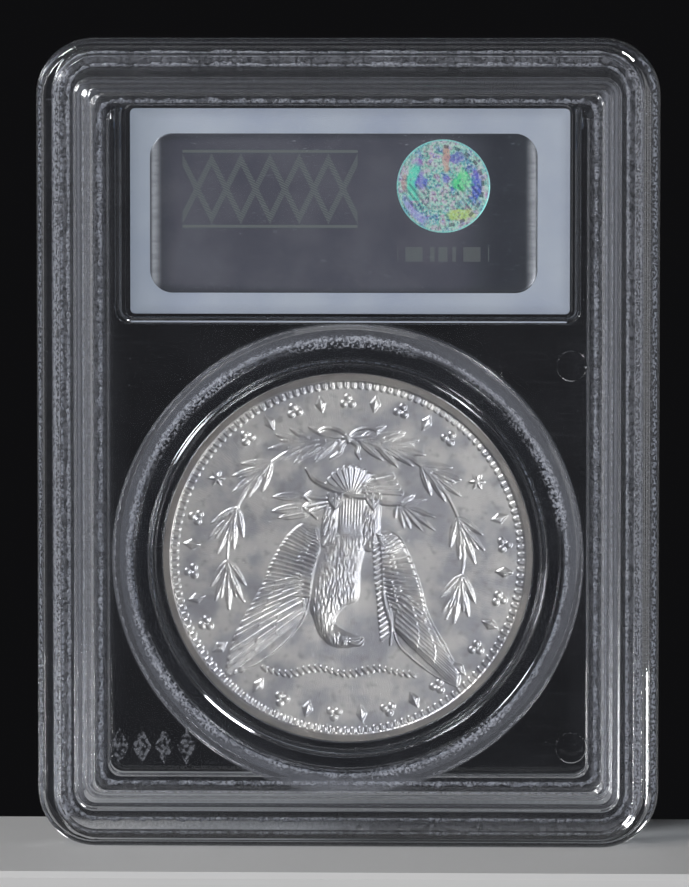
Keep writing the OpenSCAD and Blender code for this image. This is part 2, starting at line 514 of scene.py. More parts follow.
weld_white = (0.5, 0.52, 0.6)
outer_bead = wandering(evenly(border_ring(3.25, 0), 0.2), 0.17, 0.2, "outer_weld", 1.0)
placed(outer_bead, frosted_weld("outer_weld_frost", 0.62, weld_white), "weld_bead", "outer_weld_bead")
inner_bead = wandering(evenly(border_ring(6.5, 0), 0.2), 0.22, 0.2, "inner_weld", 1.0)
placed(inner_bead, frosted_weld("inner_weld_frost", 0.5, weld_white), "weld_bead", "inner_weld_bead")
well_bead = wandering(evenly(round_ring(0, coin_z, well_weld_r, 0, 720), 0.2), 0.24, 0.2, "well_weld", 0.8)
placed(well_bead, frosted_weld("well_weld_frost", 0.6, weld_white), "weld_bead", "well_weld_bead")


# Corner mark: a row of four lozenges of the shell's own plastic, moulded on the inside of the rear
# window. The mould is spark-etched there, so the plastic sparkles.
emblem_x, emblem_z = -20.1, 10.4
emblem_pitch, emblem_w, emblem_h = 2.3, 2.0, 3.8


def etched_plastic():
    """Pale sparkle of spark-etched plastic, broken up by the grain of the mould."""
    finish = Finish("etched_corner_mark")
    grain = finish.noise(finish.place()[3], 2.6, 5.0)
    pale = finish.opaque((0.3, 0.31, 0.35, 1), 0.35, grain, 1.0, 0.0002)
    through = finish.add("BsdfTransparent", {}, {"Color": (1, 1, 1, 1)})
    return finish.done(finish.cover(grain.ramp(0.45, 0.6) * 0.5, through, pale))


def lozenge_ring(x, grow, depth):
    """Four points round one lozenge of the corner mark."""
    half_w, half_h = emblem_w / 2 - grow, emblem_h / 2 - 2 * grow
    y = -inside + depth
    return [
        (x + half_w, y, emblem_z),
        (x, y, emblem_z + half_h),
        (x - half_w, y, emblem_z),
        (x, y, emblem_z - half_h),
    ]


corner_mark = None
for place in (-1.5, -0.5, 0.5, 1.5):
    steps = ((0.0, -0.01), (0.0, 0.05), (0.12, 0.12))
    one = skinned("lozenge", [lozenge_ring(emblem_x + place * emblem_pitch, g, d) for g, d in steps])
    corner_mark = combine(corner_mark, one, "UNION") if corner_mark else one
corner_mark.name = "corner_mark"
placed(corner_mark, etched_plastic(), "clear_shell")


# Coin ring: a clear stepped ring of flexible plastic. A thin web grips the coin's edge, and a
# collar outside it fills the well from window to window.
ring_in, ring_step, ring_out = 19.07, 20.6, well_r - 0.15
web, collar = 1.2, inside - 0.05
ring_half = (
    (ring_in, 0, 0),
    (ring_in, web, 0.2),
    (19.75, web, 0.1),
    (19.95, web - 0.3, 0.1),
    (20.25, web - 0.3, 0.1),
    (ring_step, collar, 0.15),
    (ring_out, collar, 0.25),
    (ring_out, 0, 0),
)
ring_profile = filleted(ring_half)
ring_profile += [(r, -h) for r, h in reversed(ring_profile[1:-1])]
ring_lathe = [round_ring(0, coin_z, r, h, 180) for r, h in ring_profile]
coin_ring = skinned("coin_ring_clear", ring_lathe, loop=True)
ring_plastic = clear_plastic("clear_ring_plastic", (0.9, 0.92, 0.96), 0.04, 0.02)
placed(smoothed(coin_ring, 40), ring_plastic, "clear_ring", "coin_ring")


# Paper label: pale card that lies in the pocket between the two pads. Its back is plain, and its
# front carries a printed band, rules and bars.
paper_half = 0.15
paper_r = 0.5


def plate(name, outline, profile, side=-1):
    """A flat piece from an outline(inset) and (inset, height) steps. side is -1 for a rear face."""
    rings = [[(x, y * side, z) for x, y, z in outline(inset, height)] for inset, height in profile]
    return skinned(name, rings)


def paper_stock():
    """Uncoated card: pulp fibres, soft clouding, painted shade near its edges and towards its left end, and
    a print on its front face only.
    """
    finish = Finish("label_card")
    x, y, z, point = finish.place()
    up = z - label_z
    fibres = finish.noise(point, 2.2, 6.0, (1, 1, 2.6))
    clouds = finish.noise(point, 0.09, 3.0)
    card = finish.blend(clouds.ramp(0.3, 0.7), (0.6, 0.67, 0.83, 1), (0.78, 0.85, 0.96, 1))
    card = finish.blend(fibres.ramp(0.35, 0.75) * 0.35, card, (0.8, 0.85, 0.95, 1))
    margin = (label_w / 2 - (x - label_x).fn("ABSOLUTE")).fn("MINIMUM", label_h / 2 - up.fn("ABSOLUTE"))
    # Painted shade: the card darkens within about a millimetre of its edges.
    card = finish.blend((1 - margin.ramp(0.1, 1.3)) * 0.35, card, (0.36, 0.4, 0.5, 1))
    # Painted shade: the card darkens towards its left end.
    painted_left_shade = (x + clouds * 4).ramp(-14, -20)
    card = finish.blend(painted_left_shade * 0.45, card, (0.3, 0.36, 0.44, 1))
    front = y > 0
    across = x.fn("ABSOLUTE") < 21.2
    band = (up > 6.2) * (up < 9.0)
    rules = ((up + 2.4).fn("ABSOLUTE") < 0.12) + ((up + 8.6).fn("ABSOLUTE") < 0.12)
    rows = (up.fn("PINGPONG", 1.5) < 0.42) * (up > -7.6) * (up < 5.2)
    line = finish.add("CombineXYZ", {}, {0: x, 1: (up / 3).fn("ROUND") * 7, 2: 0.0})
    words = (finish.noise(line, 0.9, 1.0) > 0.42) * (x < 6)
    bars = ((x * 3.1).fn("SINE") + (x * 7.3).fn("SINE") > 0.25) * (x > 9) * (up > -7.4) * (up < -3.6)
    print_on = front * across * (rules + rows * words * (up > -2) + bars).fn("MINIMUM", 1)
    card = finish.blend(front * across * band, card, (0.05, 0.14, 0.3, 1))
    card = finish.blend(print_on, card, (0.04, 0.045, 0.06, 1))
    return finish.done(finish.opaque(card, 0.78, fibres, 0.25, 0.00003))


def paper_outline(inset, height):
    return rounded_ring(label_x, label_z, label_w - 2 * inset, label_h - 2 * inset, paper_r, height)


paper_edge = ((0.03, -paper_half), (0, -paper_half + 0.03), (0, paper_half - 0.03), (0.03, paper_half))
paper = smoothed(plate("paper_label_card", paper_outline, paper_edge))
placed(paper, paper_stock(), "label_paper", "paper_label")


# Foil seal: a metallised sticker on the label's back, painted dark grey as a painted reflection of a dark
# room, whose edges roll down to the card. Its tone-on-tone print is a hatched trellis between two rails,
# and rows of dashes.
foil_x, foil_z, foil_w, foil_h, foil_top, foil_base = box_mm("foil_seal")
foil_crown, foil_r = 0.45, 2.2


def foil_outline(inset, height):
    """The sticker's outline: its top and bottom edges are a little crowned."""
    points = []
    wide, high = foil_w - 2 * inset, foil_h - 2 * inset
    for x, y, z in rounded_ring(foil_x, foil_z, wide, high, foil_r - inset, height):
        droop = foil_crown * (abs(x - foil_x) * 2 / foil_w) ** 3
        points.append((x, y, z - math.copysign(droop, z - foil_z)))
    return points


def dark_foil():
    """Metallised film painted dark as a reflection of a dark room: its print, handling scratches, painted
    highlights on the rolled ends, a painted sheen at the top, and painted shade at the right and along the
    edges.
    """
    finish = Finish("security_foil_painted_dark")
    x, y, z, point = finish.place()
    u, v = x + 8, z - (label_z + 2.3)
    fold = (u + 30).fn("PINGPONG", 3) - 1.5
    trellis = ((v - fold * 2).fn("ABSOLUTE") < 0.62).fn("MAXIMUM", (v + fold * 2).fn("ABSOLUTE") < 0.62)
    hatch = (v * 2 + u).fn("PINGPONG", 0.25) < 0.15
    trellis = trellis * hatch * (u.fn("ABSOLUTE") < 9)
    rails = ((v.fn("ABSOLUTE") - 3.85).fn("ABSOLUTE") < 0.14) * (u.fn("ABSOLUTE") < 9)
    rows = ((z - (label_z - 4.4)).fn("PINGPONG", 2.2) < 0.75) * (z < label_z - 2.9) * (z > label_z - 7.4)
    dashes = ((x * 2.1).fn("SINE") + (x * 5.3).fn("SINE") > -0.2) * ((x - 9.8).fn("ABSOLUTE") < 4.7)
    ink = trellis.fn("MAXIMUM", rails).fn("MAXIMUM", rows * dashes * 0.6)
    clouds = finish.noise(point, 0.16, 4.0)
    # Painted reflection: the metallised film gets a dark grey base, for the dark room it would mirror.
    film = finish.blend(clouds.ramp(0.35, 0.7), (0.097, 0.1, 0.13, 1), (0.135, 0.138, 0.168, 1))
    # Painted shade: the film darkens towards the right.
    film = finish.blend((x + clouds * 3).ramp(11, 17.5) * 0.95, film, (0.025, 0.03, 0.042, 1))
    film = finish.blend(ink * 0.8, film, (0.2, 0.225, 0.215, 1))
    scratch = finish.noise(point, 1.9, 3.0, (0.5, 1, 2.2)).ramp(0.66, 0.74)
    # Handling scratches, shown lighter in a band at the top: partly real wear, partly a painted sheen.
    painted_top_sheen = (z - (foil_z + foil_h / 2 - 1.6)).ramp(-0.8, 0.4)
    film = finish.blend(scratch * (painted_top_sheen * 0.5 + 0.12), film, (0.5, 0.53, 0.58, 1))
    streaks = finish.noise(point, 1.6, 3.0, (0.3, 1, 1.8)).ramp(0.3, 0.65)
    side = foil_w / 2 - (x - foil_x).fn("ABSOLUTE")
    # Painted highlight: the rolled ends are lighter, less so on the right.
    rolled_end_highlight = (side.ramp(0.0, 0.35) - side.ramp(0.35, 1.3)) * (0.75 + streaks * 0.35)
    # Painted shade just inside the rolled ends.
    film = finish.blend((1 - side.ramp(0.8, 3.2)) * 0.55, film, (0.04, 0.045, 0.055, 1))
    film = finish.blend(rolled_end_highlight * (1 - (x > 0) * 0.25), film, (0.5, 0.52, 0.56, 1))
    # Painted shade along the top and bottom edges, which follow the crowned outline.
    droop = foil_crown * ((x - foil_x).fn("ABSOLUTE") * 2 / foil_w) ** 3
    lip = foil_h / 2 - (z - foil_z).fn("ABSOLUTE") - droop
    film = finish.blend((1 - lip.ramp(0.15, 1.2)) * 0.6, film, (0.035, 0.04, 0.05, 1))
    rough = 0.36 + clouds * 0.12 + scratch * 0.15
    return finish.done(finish.opaque(film, rough, clouds + scratch * 0.4, 0.3, 0.00003, 0.35))


roll = ((0, 0), (0.03, 0.3), (0.12, 0.6), (0.28, 0.82), (0.5, 0.94), (0.85, 1.0))
foil_profile = [(inset, foil_base + (foil_top - foil_base) * part) for inset, part in roll]
foil = smoothed(plate("foil_seal_dark", foil_outline, foil_profile), 60)
placed(foil, dark_foil(), "dark_foil", "foil_seal")


# Hologram: a round plastic film, stuck on the foil, whose embossed grating splits light into
# colours. Its picture is a plain rosette.
holo_x, holo_z, holo_w = box_mm("round_hologram")[:3]
holo_top, holo_base = box_mm("round_hologram")[4:]
holo_r = holo_w / 2


def holo_outline(inset, height):
    return round_ring(holo_x, holo_z, holo_r - inset, height, 96)


def grating_film():
    """Diffraction colours in patches and streaks, a petalled rosette, and a fine sparkle."""
    finish = Finish("hologram_film")
    x, y, z, point = finish.place()
    u, v = x - holo_x, z - holo_z
    r = (u * u + v * v) ** 0.5
    angle = v.fn("ARCTAN2", u)
    drift = finish.noise(point, 1.3, 3.0) - 0.5
    grain = finish.noise(point, 4.6, 3.0)
    other = finish.noise(point, 5.4, 2.0, (1, 1, 0.55))
    tint = finish.noise(point, 1.0, 4.0)
    stops = (
        (0.32, (0.2, 0.3, 0.75)),
        (0.44, (0.25, 0.72, 0.7)),
        (0.52, (0.4, 0.85, 0.68)),
        (0.6, (0.75, 0.62, 0.75)),
        (0.7, (0.35, 0.42, 0.9)),
    )
    colour = finish.add("ValToRGB", {"stops": stops}, {0: tint})
    colour = finish.blend(grain.ramp(0.52, 0.62) * 0.6, colour, (0.85, 1.0, 0.95, 1))
    colour = finish.blend(grain.ramp(0.46, 0.38) * 0.6, colour, (0.03, 0.06, 0.16, 1))
    colour = finish.blend(other.ramp(0.56, 0.64) * 0.45, colour, (0.85, 0.5, 0.7, 1))
    patches = (
        (-2.5, 0.5, 0.85, 0.95, (0.14, 0.14, 0.8)),
        (3.3, 0.0, 0.6, 2.0, (0.14, 0.15, 0.85)),
        (1.3, 2.8, 1.15, 0.6, (0.22, 0.22, 0.75)),
        (-2.6, 2.5, 0.6, 0.5, (0.5, 0.22, 0.75)),
        (0.3, 0.7, 0.5, 0.4, (0.2, 0.15, 0.8)),
        (1.9, 0.5, 1.1, 1.1, (0.14, 1.0, 0.36)),
        (1.6, -2.9, 1.6, 0.7, (0.7, 0.9, 0.25)),
        (0.3, 2.9, 0.4, 1.2, (0.85, 0.5, 0.4)),
        (-4.0, 0.3, 0.35, 1.0, (0.7, 0.25, 0.3)),
    )
    for u0, v0, wide, high, shade in patches:
        gap = (((u - u0) / wide) ** 2 + ((v - v0) / high) ** 2) ** 0.5 + drift * 1.7
        colour = finish.blend((1 - gap.ramp(0.6, 1.15)) * 0.8, colour, (*shade, 1))
    turned = angle.fn("ABSOLUTE")
    crescent = (r + drift).ramp(2.7, 3.1) * (1 - (r + drift).ramp(3.6, 4.0)) * turned.ramp(2.3, 2.6)
    colour = finish.blend(crescent * (v > -1.5) * 0.9, colour, (0.2, 1.0, 0.75, 1))
    arc = (r.ramp(3.4, 3.8) - r.ramp(4.3, 4.5)) * (angle.ramp(-2.9, -2.7) - angle.ramp(-2.2, -1.9))
    colour = finish.blend(arc * 0.7, colour, (0.4, 0.35, 0.95, 1))
    hatch = ((u + v * 0.8) * 9).fn("SINE") > 0.2
    low_sides = (v < 0.2) * (v > -2.4) * (u.fn("ABSOLUTE") > 1.4) * (r < 4.0)
    colour = finish.blend(hatch * low_sides * 0.5, colour, (0.04, 0.08, 0.14, 1))
    petals = ((angle * 8).fn("SINE") * 0.5 + (r * 3.4).fn("SINE")).ramp(0.1, 0.5)
    colour = finish.blend(petals * 0.2, colour, (0.85, 1.0, 0.95, 1))
    colour = finish.blend(grain.ramp(0.56, 0.64) * 0.35, colour, (0.8, 1.0, 0.9, 1))
    colour = finish.blend(other.ramp(0.42, 0.34) * 0.45, colour, (0.04, 0.1, 0.22, 1))
    dots = ((angle * 22).fn("SINE") > 0.1) * ((r - holo_r + 0.75).fn("ABSOLUTE") < 0.17)
    colour = finish.blend(dots * (x > holo_x) * 0.6, colour, (0.02, 0.04, 0.08, 1))
    colour = finish.blend((r - (holo_r - 0.16)).ramp(-0.06, 0.05) * 0.7, colour, (0.35, 0.95, 0.9, 1))
    return finish.done(finish.opaque(colour, 0.38, petals * 0.3 + grain, 0.4, 0.00004, 0.5))


holo_profile = ((0, holo_base), (0.02, holo_top - 0.03), (0.1, holo_top))
hologram = smoothed(plate("round_hologram_film", holo_outline, holo_profile))
placed(hologram, grating_film(), "hologram", "round_hologram")


# Coin: struck silver. Both faces are relief that two dies pressed into the blank: an eagle in a
# wreath behind, and a rising sun in a wreath in front. The collar cut the reeds in its edge.
coin_rear, coin_front = box_mm("coin")[4:]
coin_r, coin_half = box_mm("coin")[2] / 2, (coin_rear - coin_front) / 2
rim_foot, field_drop = coin_r - 0.8, 0.24
denticles, tooth_end = 149, 17.75
seam_r = 13.9
field_steps, border_steps = 158, 58


def curve(points, count=40):
    """A smooth line through points, as count points at even steps of its parameter."""
    knots = np.array(points, float)
    knots = np.vstack([2 * knots[0] - knots[1], knots, 2 * knots[-1] - knots[-2]])
    spans = len(points) - 1
    line = []
    for s in np.linspace(0, spans - 1e-9, count):
        k, t = int(s), s % 1
        a, b, c, d = knots[k : k + 4]
        line.append(b + 0.5 * t * (c - a + t * (2 * a - 5 * b + 4 * c - d + t * (3 * (b - c) + d - a))))
    return np.array(line)


class Relief:
    """Heights in mm over a coin's face, on an even grid. Shapes are raised from it one by one."""

    step = 0.04

    def __init__(self):
        self.axis = np.arange(-coin_r - 0.2, coin_r + 0.2, self.step)
        self.high = np.zeros((len(self.axis), len(self.axis)))

    def window(self, points, reach):
        """The part of the grid within reach of some points, with its x and z."""
        low = np.searchsorted(self.axis, np.min(points, axis=0) - reach)
        top = np.searchsorted(self.axis, np.max(points, axis=0) + reach)
        x, z = np.meshgrid(self.axis[low[0] : top[0]], self.axis[low[1] : top[1]], indexing="ij")
        return (slice(low[0], top[0]), slice(low[1], top[1])), x, z

    def lay(self, part, height, add):
        """Adds height to what is there, or lets the higher of the two show."""
        self.high[part] = self.high[part] + height if add else np.maximum(self.high[part], height)

    def stroke(self, points, widths, height, add=False, blunt=0.4):
        """A round-backed line whose width changes evenly from one of widths to the next."""
        points = np.array(points, float)
        part, x, z = self.window(points, max(widths))
        run = np.concatenate(([0], np.cumsum(np.hypot(*np.diff(points, axis=0).T))))
        best = np.full(x.shape, 9.0)
        for k in range(len(points) - 1):
            dx, dz = points[k + 1] - points[k]
            span = max(dx * dx + dz * dz, 1e-9)
            t = np.clip(((x - points[k][0]) * dx + (z - points[k][1]) * dz) / span, 0, 1)
            gap = np.hypot(x - points[k][0] - t * dx, z - points[k][1] - t * dz)
            place = (run[k] + t * (run[k + 1] - run[k])) / run[-1]
            half = np.interp(place, np.linspace(0, 1, len(widths)), widths) / 2
            best = np.minimum(best, gap / np.maximum(half, 0.02))
        self.lay(part, height * np.clip(1 - best**2, 0, 1) ** blunt, add)

    def frame(self, root, tip, reach):
        """The grid near a shape from root to tip: its part, and 0..1 along it and mm across it."""
        root, tip = np.array(root, float), np.array(tip, float)
        part, x, z = self.window([root, tip], reach)
        length = np.hypot(*(tip - root))
        dx, dz = (tip - root) / length
        along = ((x - root[0]) * dx + (z - root[1]) * dz) / length
        return part, along, (z - root[1]) * dx - (x - root[0]) * dz, length

    def leaf(self, root, tip, width, height):
        """A lens-shaped leaf with a raised rim and midrib."""
        part, along, across, length = self.frame(root, tip, width)
        half = width / 2 * np.sin(math.pi * np.clip(along, 0, 1) ** 0.8) ** 0.7 + 1e-6
        side = np.abs(across) / half
        edge = np.clip((half - np.abs(across)) / 0.09, 0, 1) * (along > 0) * (along < 1)
        self.lay(part, height * edge * (0.4 + 0.6 * np.clip(side, 0, 1) ** 4 + 0.35 * (side < 0.2)), False)

    def feather(self, root, tip, width, height, lean=1, narrow=0.5):
        """A round-ended feather. One side lies lower, under its neighbour."""
        part, along, across, length = self.frame(root, tip, width)
        cap = 0.5 * width / length
        half = width / 2 * (narrow + (1 - narrow) * np.clip(along, 0, 1) ** 0.7)
        half = half * np.sqrt(np.clip(1 - (np.clip(along - 1 + cap, 0, 9) / cap) ** 2, 0, 1)) + 1e-6
        edge = np.clip((half - np.abs(across)) / 0.07, 0, 1) * (along > 0)
        tilt = 0.6 + 0.4 * lean * np.clip(across / half, -1, 1)
        quill = 0.18 * np.exp(-((across / 0.05) ** 2)) * (along < 0.9)
        lip = 0.35 * np.exp(-(((half - np.abs(across) - 0.08) / 0.05) ** 2))
        self.lay(part, height * edge * (tilt + quill + lip), False)

    def dome(self, outline, height, edge, add=False):
        """A filled outline that rises over the width of edge and is level inside it."""
        outline = np.array(outline, float)
        part, x, z = self.window(outline, 0.1)
        gap = np.full(x.shape, 99.0)
        odd = np.zeros(x.shape, bool)
        for (ax, az), (bx, bz) in zip(outline, np.roll(outline, -1, axis=0)):
            dx, dz = bx - ax, bz - az
            t = np.clip(((x - ax) * dx + (z - az) * dz) / max(dx * dx + dz * dz, 1e-9), 0, 1)
            gap = np.minimum(gap, np.hypot(x - ax - t * dx, z - az - t * dz))
            if dz:
                odd ^= ((az > z) != (bz > z)) & (x < ax + dx * (z - az) / dz)
        rise = np.sqrt(1 - (1 - np.clip(gap / edge, 0, 1)) ** 2)
        self.lay(part, height * rise * odd, add)

    def star(self, x0, z0, size, height, points=6):
        """A star with a ridge down each arm."""
        part, x, z = self.window([(x0, z0)], size)
        r, a = np.hypot(x - x0, z - z0), np.arctan2(z - z0, x - x0)
        fold = np.abs((a / (2 * math.pi / points)) % 1 - 0.5) * 2
        reach = size / (1 + 1.3 * (1 - fold))
        self.lay(part, height * np.clip((1 - r / reach) * 1.8, 0, 1), False)

    def ring(self, shape):
        """Lets shape(r, turns) raise the whole face, with turns as a fraction of a turn."""
        x, z = np.meshgrid(self.axis, self.axis, indexing="ij")
        self.high = np.maximum(self.high, shape(np.hypot(x, z), np.arctan2(z, x) / (2 * math.pi) % 1))

    def at(self, x, z):
        """The height at each (x, z), between the grid's points."""
        fx, fz = (x - self.axis[0]) / self.step, (z - self.axis[0]) / self.step
        i, j = fx.astype(int), fz.astype(int)
        s, t = fx - i, fz - j
        near = self.high[i, j] * (1 - t) + self.high[i, j + 1] * t
        far = self.high[i + 1, j] * (1 - t) + self.high[i + 1, j + 1] * t
        return near * (1 - s) + far * s


def border(r, turns):
    """The raised rim, and the row of round-ended teeth just inside it."""
    rim = field_drop * np.clip((r - (rim_foot - 0.1)) / 0.14, 0, 1)
    across = np.abs((turns * denticles) % 1 - 0.5) * 0.76
    along = np.clip(tooth_end - r, 0, 9)
    reach = np.hypot(across, along)
    tooth = 0.15 * np.clip((0.27 - reach) / 0.08, 0, 1) * (1 - 0.35 * np.clip(1 - reach / 0.2, 0, 1))
    return np.maximum(rim, tooth * (r < rim_foot + 0.15))


def surface(name, x, z, relief, side):
    """A grid of quads over (x, z) on one face of the coin, raised by the relief."""
    verts = np.stack([x, side * (coin_half - field_drop + relief.at(x, z)), z + coin_z], axis=-1) * MM
    k = np.arange(x.size).reshape(x.shape)
    quads = np.stack([k[:-1, :-1], k[1:, :-1], k[1:, 1:], k[:-1, 1:]], axis=-1).reshape(-1, 4)
    mesh = bpy.data.meshes.new(name)
    mesh.from_pydata(verts.reshape(-1, 3).tolist(), [], (quads if side < 0 else quads[:, ::-1]).tolist())
    mesh.shade_smooth()
    return linked(name, mesh)


def struck_face(name, relief, side, metal):
    """One face of the coin: a square grid spread over its middle, and a round grid outside that."""
    steps = np.linspace(-1, 1, 2 * field_steps + 1)
    u, v = np.meshgrid(steps, steps, indexing="ij")
    big, small = np.maximum(np.abs(u), np.abs(v)), np.minimum(np.abs(u), np.abs(v))
    turn = small / np.maximum(big, 1e-9) * math.pi / 4
    wide = np.abs(u) >= np.abs(v)
    x = np.where(wide, np.cos(turn), np.sin(turn)) * big * np.sign(u) * seam_r
    z = np.where(wide, np.sin(turn), np.cos(turn)) * big * np.sign(v) * seam_r
    field = surface(name + "_field", x, z, relief, side)
    placed(field, metal, "coin_silver", "coin")
    turns = np.linspace(0, 2 * math.pi, 8 * field_steps + 1)
    r, a = np.meshgrid(np.linspace(seam_r, coin_r - 0.06, border_steps), turns, indexing="ij")
    band = surface(name + "_border", r * np.cos(a), r * np.sin(a), relief, side)
    placed(band, metal, "coin_silver", "coin")


def struck_silver():
    """Uncleaned silver: flow lines from the strike, warm toning at the rim, painted shade on the raised rim
    itself, cool mottling within.
    """
    finish = Finish("struck_silver")
    x, y, z, point = finish.place()
    v = z - coin_z
    r = (x * x + v * v) ** 0.5
    angle = v.fn("ARCTAN2", x)
    spoke = finish.add("CombineXYZ", {}, {0: angle * 30, 1: r * 0.35, 2: y})
    flow = finish.noise(spoke, 4.0, 3.0)
    mottle = finish.noise(point, 0.34, 6.0)
    speck = finish.noise(point, 1.1, 5.0)
    silver = finish.blend(mottle.ramp(0.38, 0.62), (0.42, 0.42, 0.45, 1), (0.59, 0.575, 0.56, 1))
    silver = finish.blend(speck.ramp(0.52, 0.7) * 0.6, silver, (0.34, 0.33, 0.33, 1))
    toned = (r + mottle * 2).ramp(18.8, 20.4)
    silver = finish.blend(toned * 0.6, silver, (0.5, 0.45, 0.4, 1))
    # Painted shade: the raised rim is darkened.
    silver = finish.blend(r.ramp(rim_foot - 0.05, rim_foot + 0.2) * 0.7, silver, (0.2, 0.185, 0.175, 1))
    marks = finish.noise(point, 1.6, 2.0, (1.5, 1, 0.4)).ramp(0.7, 0.76)
    silver = finish.blend(marks * 0.4, silver, (0.75, 0.75, 0.78, 1))
    rough, lustre = 0.32 + mottle * 0.12, flow + speck * 0.3
    return finish.done(finish.opaque(silver, rough, lustre, 0.35, 0.00004, 1.0))


def along(root, turn, length):
    """The point at length from root in the direction turn, in degrees."""
    return root[0] + length * math.cos(math.radians(turn)), root[1] + length * math.sin(math.radians(turn))


def spray(relief, root, turn, spread, leaves, length):
    """A tuft of leaves that fans out about one direction, the middle ones longest."""
    for k in range(leaves):
        part = k / (leaves - 1) - 0.5
        foot = along(root, turn, 0.9 * (k % 2))
        tip = along(foot, turn + part * spread, length * (1 - 0.5 * abs(part)))
        relief.leaf(foot, tip, 0.74, 0.15)


def heading(line, k):
    """The direction of a line at its point k, in degrees."""
    ahead = line[min(k + 2, len(line) - 1)] - line[max(k - 2, 0)]
    return math.degrees(math.atan2(ahead[1], ahead[0]))


def wreath(relief, branch, tufts, leaves, length):
    """A branch with tufts of leaves at even steps along it."""
    line = curve(branch, 90)
    relief.stroke(line, (0.28, 0.22, 0.12), 0.11)
    for k in range(tufts):
        place = round(4 + 66 * k / (tufts - 1))
        spray(relief, line[place], heading(line, place), 68, leaves, length)


def mirrored(points, sign):
    return [(x * sign, z) for x, z in points]


eagle = Relief()
eagle.ring(border)

# Wreath and bow.
left_branch = [(-0.9, 12.2), (-2, 12.0), (-5.8, 11.2), (-9.7, 8.1), (-12.0, 3.5), (-12.3, -1.5)]
right_branch = [(0.9, 12.2), (1.9, 12), (5.4, 10.9), (9.5, 7.6), (11.85, 2.3), (11.5, -3)]
for branch, end in ((left_branch, (-10.7, -4.6)), (right_branch, (10.1, -6.3))):
    wreath(eagle, [*branch, end], 5, 7, 4.4)
for sign in (-1, 1):
    loop = [(0, 12.4), (1.0, 13.2), (2.3, 13.4), (3.0, 12.9), (1.5, 12.5), (0, 12.4)]
    eagle.stroke(curve(mirrored(loop, sign)), (0.28, 0.3), 0.15)
    tail = [(0, 12.3), (0.8 + 0.2 * sign, 11.6), (0.9, 10.9), (1.5 - 0.3 * sign, 10.3)]
    eagle.stroke(curve(mirrored(tail, sign)), (0.35, 0.5, 0.2), 0.15)
eagle.stroke([(-0.1, 12.6), (0.1, 12.1)], (0.55, 0.55), 0.19)

# Tail: a fan of feathers above the twig, and a fluted band below it, between the legs.
for k in range(10):
    turn = 152 - k * 12.5
    eagle.feather((0.4, 6.2), along((0.4, 6.2), turn, 3.4 - 0.25 * abs(k - 4.5) / 4.5), 0.82, 0.15, 1, 0.2)
eagle.dome([(-0.9, 6.4), (-1.1, 1.6), (1.6, 1.6), (1.9, 6.2)], 0.1, 0.5)
for k in range(9):
    x = -0.75 + 0.3 * k
    eagle.stroke([(x, 6.2), (x - 0.1, 3.4 + 0.3 * math.sin(k * 2.1))], (0.12, 0.08), 0.035, add=True)

# Arrows and olive twig, which the claws hold.
for k in range(4):
    eagle.feather((1.5, 6.9 + 0.28 * k), (5.75 - 0.3 * k, 6.75 + 0.55 * k), 0.55, 0.16, -1, 0.6)
for x, z in ((-7.8, 6.3), (-7.9, 4.8), (-7.2, 4.1)):
    neck = np.array((x + 3.1, z * 0.72 + 1.75))
    eagle.stroke([neck, (-0.5, 6.0)], (0.26, 0.3), 0.13)
    eagle.leaf(neck + (0.4, 0.1), (x, z), 0.95, 0.16)
    for barb in (-0.6, 0.6):
        eagle.stroke([neck + (0.2, 0.05), neck + (0.9, barb)], (0.26, 0.14), 0.15)
twig = curve([(-4.3, 9.2), (-3.6, 8.1), (-2.3, 7.4), (0.3, 6.5), (2, 6.2), (3.9, 5.6), (5.4, 5.6)])
eagle.stroke(twig, (0.15, 0.5, 0.45, 0.3), 0.22)
leaf_tips = (
    (6.9, 6.6),
    (8.1, 6.1),
    (9.05, 4.2),
    (9.05, 2.8),
    (7.7, 2.8),
    (6.5, 3.0),
    (5.8, 3.1),
    (4.85, 4.1),
)
for x, z in leaf_tips:
    eagle.leaf((5.1 + 0.15 * (x - 5), 5.4), (x, z), 0.55, 0.15)


def wing(relief, lead, outer, lower, lean):
    """A spread wing: rows of short feathers over a scalloped row, and long ones out to the tip."""
    lead, outer, lower = curve(lead, 60), curve(outer, 80), curve(lower, 30)
    relief.dome(np.vstack([lead, lower, outer[::-1]]), 0.1, 0.4)
    plumes = Relief()
    rows = (
        (0.45, 0.985, 25, 0.6, 0.1),
        (0.3, 0.62, 25, 0.46, 0.12),
        (0.18, 0.44, 22, 0.42, 0.15),
        (0.03, 0.26, 20, 0.42, 0.2),
    )
    for start, reach, count, width, height in rows:
        for k in range(count):
            t = k / (count - 1)
            foot, tip = lead[round(t * 56)], outer[round(t * 54)]
            root, end = foot + (tip - foot) * start, foot + (tip - foot) * reach
            plumes.feather(root, end, width, height, lean, 0.6)
    wrist = lead[-1]
    for reach, count, height in ((0.98, 15, 0.1), (0.62, 11, 0.14), (0.36, 8, 0.18)):
        for k in range(count):
            t = k / (count - 1)
            tip = outer[round(50 + 29 * t)]
            root = wrist + (outer[28] - wrist) * 0.4 * (1 - t) + (lower[8] - wrist) * 0.5 * t
            plumes.feather(root, root + (tip - root) * reach, 0.72, height + 0.015 * (k % 2), lean, 0.5)
    plumes.stroke(np.vstack([lead, lower]), (0.22, 0.28, 0.25, 0.2, 0.16), 0.19)
    relief.high = relief.high + plumes.high * (relief.high > 0.02)


